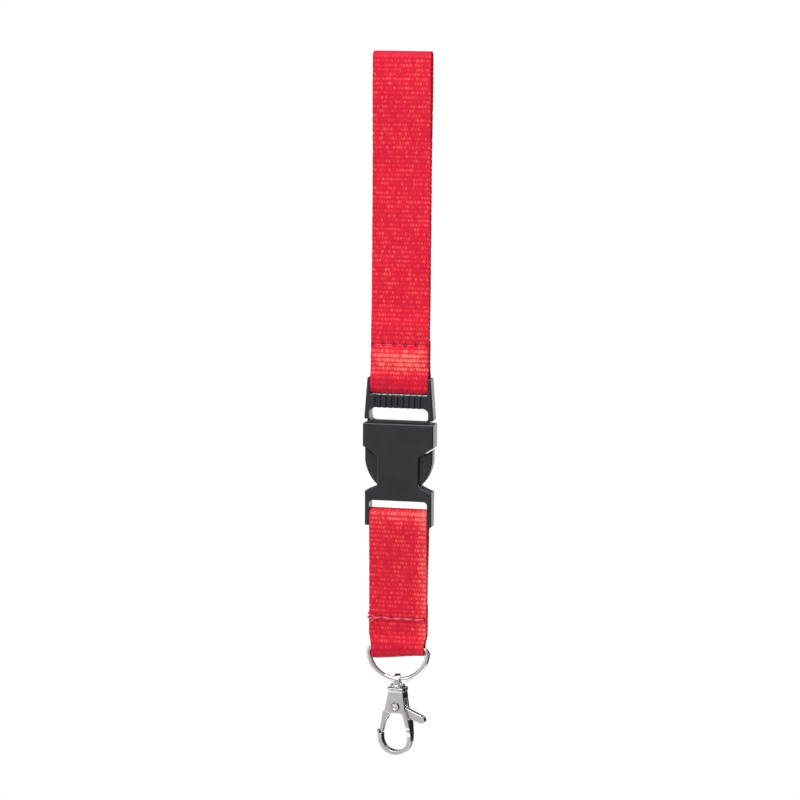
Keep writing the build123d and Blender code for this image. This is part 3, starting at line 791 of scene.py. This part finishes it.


# %% [markdown]
# ## What the needle and hands did to the webbing, and its painted light and shade
#
# New webbing would be perfectly straight. Sewing and use leave marks on it: dimples at the needle
# holes, a bulge where a loop springs open, a fold that was creased a little askew. These are moves of
# the mesh's own points, done with arrays, and each one fades out smoothly. The same arrays darken or
# lighten the relief that the webbing's finish reads, and so paint shade and highlight into its colour.

# %% Read and write a mesh as arrays
def smooth_step(value, start, end):
    """0 before start, 1 after end, and smooth between."""
    t = np.clip((value - start) / (end - start), 0, 1)
    return t * t * (3 - 2 * t)


def get_points(piece):
    """A mesh's points as an array."""
    co = np.empty(len(piece.data.vertices) * 3)
    piece.data.vertices.foreach_get("co", co)
    return co.reshape(-1, 3)


def set_points(piece, co):
    """Writes an array back to a mesh's points."""
    piece.data.vertices.foreach_set("co", co.ravel())
    piece.data.update()


def get_relief(piece):
    """The heights that the material reads, as an array."""
    relief = np.empty(len(piece.data.vertices))
    piece.data.attributes["relief"].data.foreach_get("value", relief)
    return relief


def set_relief(piece, relief):
    """Writes the heights that the material reads."""
    piece.data.attributes["relief"].data.foreach_set("value", relief)


print("smooth_step a quarter of the way:", float(smooth_step(0.25, 0, 1)))


# %% [markdown]
# ## Needle holes
#
# A needle pushes the yarns aside and the thread pulls the hole in, so each hole is a small slanted
# dimple, with painted shade at its bottom. A bell curve in two directions gives its shape. The thread
# also presses a shallow groove into the webbing from hole to hole.

# %% Pull in the holes of both seams
hole_width = 0.36 * MM
hole_length = 0.85 * MM
groove_width = 0.7 * MM
groove_depth = 0.12 * MM


def pull_holes(piece, seam_z, depth, lean, painted_hole_shade):
    """Slanted dimples at a seam's needle holes on both outer faces, with painted shade in the relief
    too.
    """
    co, relief = get_points(piece), get_relief(piece)
    outer = np.abs(co[:, 1]) > layer_step + webbing_thick / 4
    up = co[:, 2] - seam_z
    for i in range(stitches + 1):
        side = co[:, 0] - stitch_pitch * (i - stitches / 2)
        over = side * cos(lean) + up * sin(lean)
        along_hole = up * cos(lean) - side * sin(lean)
        pull = np.exp(-((over / hole_width) ** 2 + (along_hole / hole_length) ** 2)) * outer
        co[:, 1] -= np.sign(co[:, 1]) * depth * pull
        # Painted shade at the bottom of each hole.
        relief -= painted_hole_shade * pull
    sewn_part = np.abs(co[:, 0]) < stitch_pitch * stitches / 2
    groove = np.exp(-((up / groove_width) ** 2)) * outer * sewn_part
    co[:, 1] -= np.sign(co[:, 1]) * groove_depth * groove
    set_points(piece, co)
    set_relief(piece, relief)


pull_holes(hand_webbing, upper_seam, depth=0.3 * MM, lean=radians(14), painted_hole_shade=0.9)
pull_holes(key_webbing, lower_seam, depth=0.5 * MM, lean=radians(20), painted_hole_shade=1.6)
print("pulled in", stitches + 1, "holes a side on each strap")


# %% [markdown]
# ## The hand strap's bulge and folds, with painted highlight and shade
#
# Between its seam and the plug's bar the loop springs open, so its front bulges, least at the edges.
# The fold round the bar hangs a little lower than a tight one. On the bulge the crowns are painted
# lighter, as a painted highlight. At the top fold and down by the buckle they are painted darker, as
# painted shade.

# %% Bulge the loop, and paint highlight and shade on it
bulge = 0.75 * MM
fold_drop = 0.38 * MM
hand_points = get_points(hand_webbing)
front_face = hand_points[:, 1] < -layer_step - webbing_thick / 4
below_seam = smooth_step(-hand_points[:, 2], -upper_seam, -upper_seam + 4 * MM)
above_bar = smooth_step(hand_points[:, 2], plug_bar + 2 * MM, plug_bar + 8 * MM)
inside_edge = 1 - 0.6 * smooth_step(np.abs(hand_points[:, 0]), half_width - 3 * MM, half_width)
hand_points[:, 1] -= bulge * front_face * below_seam * above_bar * inside_edge
above_fold = smooth_step(hand_points[:, 2], plug_bar - 2 * MM, plug_bar + 3 * MM)
hand_points[:, 2] -= fold_drop * (1 - above_fold)
set_points(hand_webbing, hand_points)

hand_relief = get_relief(hand_webbing)
# Painted highlight: the crowns on the bulge are painted lighter.
hand_relief += (0.34 + 0.5 * hand_relief) * front_face * below_seam * above_bar * inside_edge
# Painted shade at the top fold.
hand_relief -= 0.9 * smooth_step(hand_points[:, 2], -0.9 * MM, 0.3 * MM)
# Painted shade on the webbing down by the buckle.
clear_of_buckle = smooth_step(hand_points[:, 2], plug_bar + 1 * MM, plug_bar + 6.5 * MM)
hand_relief -= 0.2 * (1 - clear_of_buckle)
set_relief(hand_webbing, hand_relief)
print("hand webbing's front reaches", round(hand_points[:, 1].min() / MM, 2), "mm")


# %% [markdown]
# ## The key strap, where it holds the ring
#
# The strap is drawn in where it passes through the ring, and its lower fold was creased a little
# askew, so its left corner hangs lower. Its crowns are painted lighter by the socket and along the
# right edge, a painted highlight where they catch the light, and painted darker in the fold round the
# ring, as painted shade.

# %% Draw in the strap and shade it
drawn_in_by = 0.082  # share of the width
corner_drop = 1.5 * MM
key_points = get_points(key_webbing)
above_ring = smooth_step(key_points[:, 2], ring_bar + 1.1 * MM, ring_bar + 5.8 * MM)
key_points[:, 0] *= 1 - drawn_in_by * (1 - above_ring)
low_part = 1 - smooth_step(key_points[:, 2], ring_bar - 0.5 * MM, ring_bar + 3 * MM)
to_the_left = smooth_step(-key_points[:, 0], -half_width, half_width)
key_points[:, 2] -= corner_drop * low_part * to_the_left
set_points(key_webbing, key_points)

key_relief = get_relief(key_webbing)
# Painted highlight on the crowns by the socket.
key_relief += 0.3 * smooth_step(key_points[:, 2], socket_bar - 6 * MM, socket_bar + 1 * MM)
# Painted highlight along the right edge.
key_relief += 0.4 * smooth_step(key_points[:, 0], half_width - 5 * MM, half_width)
# Painted shade in the fold round the ring.
clear_of_ring = smooth_step(key_points[:, 2], ring_bar - 1 * MM, ring_bar + 3 * MM)
key_relief -= 0.25 * (1 - clear_of_ring)
set_relief(key_webbing, key_relief)
print("key webbing's lowest point", round(key_points[:, 2].min() / MM, 2), "mm")


# %% [markdown]
# ## The rivet's finish
#
# The rivet is peened over in a press. Polishing dirt stays in the ring where its head meets the hook,
# and that joint line is also in shade, so the ring is painted dark for both: dirt and painted shade.
# The finish is the same nickel, with its colour taken down past a certain distance from the pivot's
# axis. That distance is worked out from Object coordinates: one dot product across the hook, one
# difference in height, and the root of their squares.

# %% Rivet material
hook_turn = radians(-8.0)  # the hook hangs turned by this much about its post
pivot_z = joint_height("gate_open")
head_radius = 1.6 * MM
rivet_nickel = plated("rivet_nickel", nickel_colour, 0.1, 0.3)
tree = rivet_nickel.node_tree
shader = tree.nodes["Principled BSDF"]
place = add(tree, "ShaderNodeTexCoord").outputs["Object"]
hook_across = {0: place, 1: (cos(hook_turn), sin(hook_turn), 0.0)}
aside = add(tree, "ShaderNodeVectorMath", hook_across, operation="DOT_PRODUCT").outputs["Value"]
place_z = add(tree, "ShaderNodeSeparateXYZ", {0: place}).outputs["Z"]
above = calc(tree, "SUBTRACT", place_z, pivot_z)
squares = total(tree, product(tree, aside, aside), product(tree, above, above))
share = calc(tree, "DIVIDE", calc(tree, "SQRT", squares), head_radius)
# The dark ring is polishing dirt and painted shade in the joint line together.
dirt_and_joint_shade = ramp(tree, share, [
    (0.74, nickel_colour),
    (0.82, (0.09, 0.09, 0.09)),
    (1.0, (0.05, 0.05, 0.05)),
])
feed(tree, shader.inputs["Base Color"], dirt_and_joint_shade)
print("made", rivet_nickel.name)


# %% [markdown]
# ## Edges of the cast parts
#
# The hook, its gate and the eye are cast in zinc and tumbled with small stones before they are
# plated, so no edge of theirs is sharp. Each is made again from its own CAD shape: a fine voxel
# skin over it, smoothed a few times, which rounds the edges and leaves the faces. The rivet
# isn't cast, but its peened head is just as soft, so it is made the same way. The work is done
# in millimetres, because voxels in metres would be very small numbers.

# %% Tumble a casting
def tumbled(name, node, voxel, rounds, finish):
    """A closed copy of a CAD node's shape with softened edges. The voxel is in millimetres."""
    shell = bmesh.new()
    shell.from_mesh(nodes[node].data)
    bmesh.ops.remove_doubles(shell, verts=shell.verts, dist=0.001 * MM)
    bmesh.ops.scale(shell, vec=(1 / MM,) * 3, verts=shell.verts)
    mesh = bpy.data.meshes.new(name)
    shell.to_mesh(mesh)
    shell.free()
    host = bpy.data.objects.new(name, mesh)
    bpy.context.scene.collection.objects.link(host)
    skin = host.modifiers.new("skin", "REMESH")
    skin.mode = "VOXEL"
    skin.voxel_size = voxel
    skin.use_smooth_shade = True
    soften = host.modifiers.new("soften", "SMOOTH")
    soften.factor = 0.5
    soften.iterations = rounds
    graph = bpy.context.evaluated_depsgraph_get()
    made = bpy.data.meshes.new_from_object(host.evaluated_get(graph), depsgraph=graph)
    bpy.data.objects.remove(host)
    made.transform(Matrix.Scale(MM, 4))
    made.name = name
    made.materials.clear()
    made.materials.append(finish)
    piece = bpy.data.objects.new(name, made)
    bpy.context.scene.collection.objects.link(piece)
    print(name, "faces", len(made.polygons))
    return piece


cast_hook = tumbled("cast_hook", "hook_body", 0.13, 11, bright_nickel)
cast_gate = tumbled("cast_gate", "gate_trigger", 0.12, 10, bright_nickel)
cast_eye = tumbled("cast_eye", "swivel_eye", 0.12, 6, bright_nickel)
cast_rivet = tumbled("cast_rivet", "gate_rivet", 0.1, 3, rivet_nickel)


# %% [markdown]
# ## The hook's rail and the trigger's end
#
# Seen from the side, the hook's body runs into its slimmer bow in one long soft curve. In the
# CAD shape that is a straight chamfer, so the depth of those points is eased here. The castings
# have already softened the chamfer's two corners, so the chamfer that is taken away is an
# average of a few, each moved up or down a little.

# %% Ease the rail
hook_back = np.array((-sin(hook_turn), cos(hook_turn), 0.0))
flange_z = pivot_z + 6.4 * MM  # where the hook's body starts
rail_start = 10.7 * MM  # below the flange
chamfer_long = 3.3 * MM
rail_end = 20 * MM
soft_corner = np.linspace(-0.6, 0.6, 7)
body_half = 2.5 * MM
bow_half = 1.3 * MM

points = get_points(cast_hook)
down = flange_z - points[:, 2]
chamfers = [
    np.clip((down + shift * MM - rail_start) / chamfer_long, 0, 1) for shift in soft_corner
]
was = body_half + (bow_half - body_half) * np.mean(chamfers, axis=0)
now = body_half + (bow_half - body_half) * smooth_step(down, rail_start, rail_end)
depth = points @ hook_back
points += np.outer(depth * (now / was - 1), hook_back)
set_points(cast_hook, points)
print("rail eased over", round((rail_end - rail_start) / MM, 1), "mm")


# %% [markdown]
# ## The trigger's end
#
# The trigger ends in a half round, where the thumb pushes it. The lever is cut square in the CAD
# shape. Near its end, each point is moved towards the lever's middle line by the shape of a
# circle.

# %% Round the trigger
hook_right = np.array((cos(hook_turn), sin(hook_turn), 0.0))
points = get_points(cast_gate)
trigger_slope = atan2(-3.6, 8.9)  # the lever falls 3.6 mm in 8.9 mm, from the pivot outwards
along_lever = np.array((cos(trigger_slope), sin(trigger_slope)))
flat = np.stack((points @ hook_right, points[:, 2] - pivot_z), axis=1)
run = flat @ along_lever
aside = flat @ np.array((-along_lever[1], along_lever[0]))
lever_end = run.max()
lever_round = 1.35 * MM
print("trigger reaches", round(lever_end / MM, 2), "mm from the pivot")
lever = run > lever_end - lever_round
middle = (aside[lever].max() + aside[lever].min()) / 2
past_start = run[lever] - (lever_end - lever_round)
share = np.clip(past_start / lever_round, 0, 0.98)  # short of 1, so the end doesn't close up
narrower = (aside[lever] - middle) * (np.sqrt(1 - share**2) - 1)
points[lever] += np.outer(narrower * -along_lever[1], hook_right)
points[lever, 2] += narrower * along_lever[0]
set_points(cast_gate, points)


# %% [markdown]
# ## Join the pieces to the model
#
# The curves that the weaving read are removed first. Each piece rides on the body of the CAD
# node it stands for, and that node is then hidden.

# %% Ride and replace
for curve in (*lines.values(), section):
    bpy.data.objects.remove(curve)
for piece, body, node, slot in (
    (hand_webbing, "root", "hand_strap", "webbing"),
    (key_webbing, "lower_strap", "key_strap", "webbing"),
    (upper_stitches, "root", "upper_seam_thread", "thread"),
    (lower_stitches, "lower_strap", "lower_seam_thread", "thread"),
    (cast_hook, "hook", "hook_body", "nickel"),
    (cast_gate, "gate", "gate_trigger", "nickel"),
    (cast_eye, "eye", "swivel_eye", "nickel"),
    (cast_rivet, "hook", "gate_rivet", "nickel"),
):
    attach(piece, body)
    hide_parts(node)


# %% [markdown]
# ## Finishes of the CAD parts
#
# A CAD node keeps its mesh. Only the materials in its slots change. The nodes that the castings
# replace are hidden, and they get a finish too, so that no hard part is left without one.

# %% Give each CAD node its material
finishes = {
    "buckle_plug": moulded_black,
    "buckle_socket": moulded_black,
    "plug_arm_left": moulded_black,
    "plug_arm_right": moulded_black,
    "d_ring": bright_nickel,
    "swivel_eye": bright_nickel,
    "hook_body": bright_nickel,
    "gate_trigger": bright_nickel,
    "gate_rivet": bright_nickel,
    "gate_spring": spring_steel,
}
for name, material in finishes.items():
    slots = nodes[name].material_slots
    if not slots:
        nodes[name].data.materials.append(material)
    for slot in slots:
        slot.material = material
print("finished", len(finishes), "CAD nodes")


# %% [markdown]
# ## A light tent
#
# The lanyard hangs in a light tent: soft white with a few darker bands, because bright metal
# looks like grey plastic with nothing dark to mirror. The bands are greys by compass bearing,
# blended into one grey overhead and underneath, and darker behind the object off the level. The
# camera itself sees plain white.

# %% World
world = bpy.data.worlds.new("light_tent")
bpy.context.scene.world = world
world.use_nodes = True
tree = world.node_tree
tree.nodes.clear()
direction = add(tree, "ShaderNodeTexCoord").outputs["Generated"]
parts = add(tree, "ShaderNodeSeparateXYZ", {0: direction})
bearing = calc(tree, "ARCTAN2", parts.outputs["X"], parts.outputs["Y"])
bearing = calc(tree, "ADD", calc(tree, "DIVIDE", bearing, 2 * pi), 0.5)
greys = [  # bearing as a share of the full turn, and the grey there
    (0.0, 0.55),
    (0.08, 0.62),
    (0.2, 1.0),
    (0.32, 1.1),
    (0.42, 0.25),
    (0.5, 0.2),
    (0.515, 1.7),
    (0.552, 1.9),
    (0.568, 0.02),
    (0.77, 0.02),
    (0.85, 0.3),
    (0.93, 0.55),
    (1.0, 0.55),
]
bands = ramp(tree, bearing, [(share, (grey, grey, grey)) for share, grey in greys])
steepness = calc(tree, "ABSOLUTE", parts.outputs["Z"])
overhead = ramp(tree, steepness, [(0.6, (0.0, 0.0, 0.0)), (0.85, (1.0, 1.0, 1.0))])
roof = {0: overhead, 6: bands, 7: (0.6, 0.6, 0.6, 1.0)}
tent = add(tree, "ShaderNodeMix", roof, data_type="RGBA").outputs[2]
behind = ramp(tree, parts.outputs["Y"], [(0.05, (0.0, 0.0, 0.0)), (0.35, (1.0, 1.0, 1.0))])
off_level = ramp(tree, steepness, [(0.22, (0.0, 0.0, 0.0)), (0.42, (0.9, 0.9, 0.9))])
shade = calc(tree, "SUBTRACT", 1.0, product(tree, behind, off_level))
strength = product(tree, shade, 0.95)
glow = add(tree, "ShaderNodeBackground", {"Color": tent, "Strength": strength}).outputs[0]
white = {"Color": (1.0, 1.0, 1.0, 1.0), "Strength": 1.0}
plain = add(tree, "ShaderNodeBackground", white).outputs[0]
seen = add(tree, "ShaderNodeLightPath").outputs["Is Camera Ray"]
mixed = add(tree, "ShaderNodeMixShader", {0: seen, 1: glow, 2: plain}).outputs[0]
add(tree, "ShaderNodeOutputWorld", {"Surface": mixed})
bpy.context.scene.view_settings.view_transform = "Standard"
print("world:", world.name)


# %% [markdown]
# ## The floor
#
# A plain pale disc lies well below the hook. It is matt, with no shine at all, and it glows
# faintly. It is small, so that the metal mirrors little of it.

# %% Pale floor
floor_z = cad_low.z - 120 * MM
floor_radius = 0.2
floor_mesh = bpy.data.meshes.new("floor")
rim = []
for degrees in range(0, 360, 6):
    a = radians(degrees)
    rim.append((floor_radius * cos(a), floor_radius * sin(a), floor_z))
floor_mesh.from_pydata(rim, [], [range(len(rim))])
floor = bpy.data.objects.new("floor", floor_mesh)
bpy.context.scene.collection.objects.link(floor)
pale, tree, shader = finish_of("pale_floor")
shader.inputs["Base Color"].default_value = (0.95, 0.95, 0.95, 1.0)
shader.inputs["Roughness"].default_value = 0.9
shader.inputs["Specular IOR Level"].default_value = 0.0
shader.inputs["Emission Color"].default_value = (1.0, 1.0, 1.0, 1.0)
shader.inputs["Emission Strength"].default_value = 0.2
floor_mesh.materials.append(pale)
print("floor at", round(floor_z / MM, 1), "mm")


# %% [markdown]
# ## Two soft lamps
#
# The tent alone would leave the webbing flat. A large lamp from the front left draws out the
# crowns, and one overhead lights the top faces. Both are big for so small an object, so their
# shadows are soft.

# %% Lamps
light_target = Vector((0, 0, -0.12))


def soft_light(name, place, size, power):
    """A square area light that looks at the middle of the lanyard."""
    light = bpy.data.lights.new(name, "AREA")
    light.size = size
    light.energy = power
    lamp = bpy.data.objects.new(name, light)
    bpy.context.scene.collection.objects.link(lamp)
    lamp.location = place
    lamp.rotation_euler = (light_target - Vector(place)).to_track_quat("-Z", "Y").to_euler()
    print("lamp", name, power, "W")


soft_light("key", (-0.35, -0.6, 0.55), 0.5, 3.4)
soft_light("overhead", (0.05, -0.2, 0.65), 0.4, 6.0)


# %% [markdown]
# ## The camera
#
# A long lens from a little to the right and a little above keeps the edges of the strap almost
# parallel. The camera is placed by its bearing, its height angle and its distance from a target
# on the lanyard, and is rolled by about half a degree.

# %% Camera
azimuth = radians(13.0)
elevation = radians(7.7)
roll = radians(0.475)
distance = 1.1
target = Vector((-0.0001, 0.0, -0.1143))
level = cos(elevation)
away = Vector((sin(azimuth) * level, -cos(azimuth) * level, sin(elevation)))
camera_data = bpy.data.cameras.new("camera")
camera_data.lens = 149.2
camera_data.sensor_width = 36.0
camera = bpy.data.objects.new("camera", camera_data)
bpy.context.scene.collection.objects.link(camera)
camera.location = target + away * distance
camera.rotation_mode = "QUATERNION"
facing = (-away).to_track_quat("-Z", "Y")
camera.rotation_quaternion = facing @ Matrix.Rotation(roll, 3, "Z").to_quaternion()
camera_data.clip_start = 0.01
bpy.context.scene.camera = camera
print("camera at", [round(v, 3) for v in camera.location])
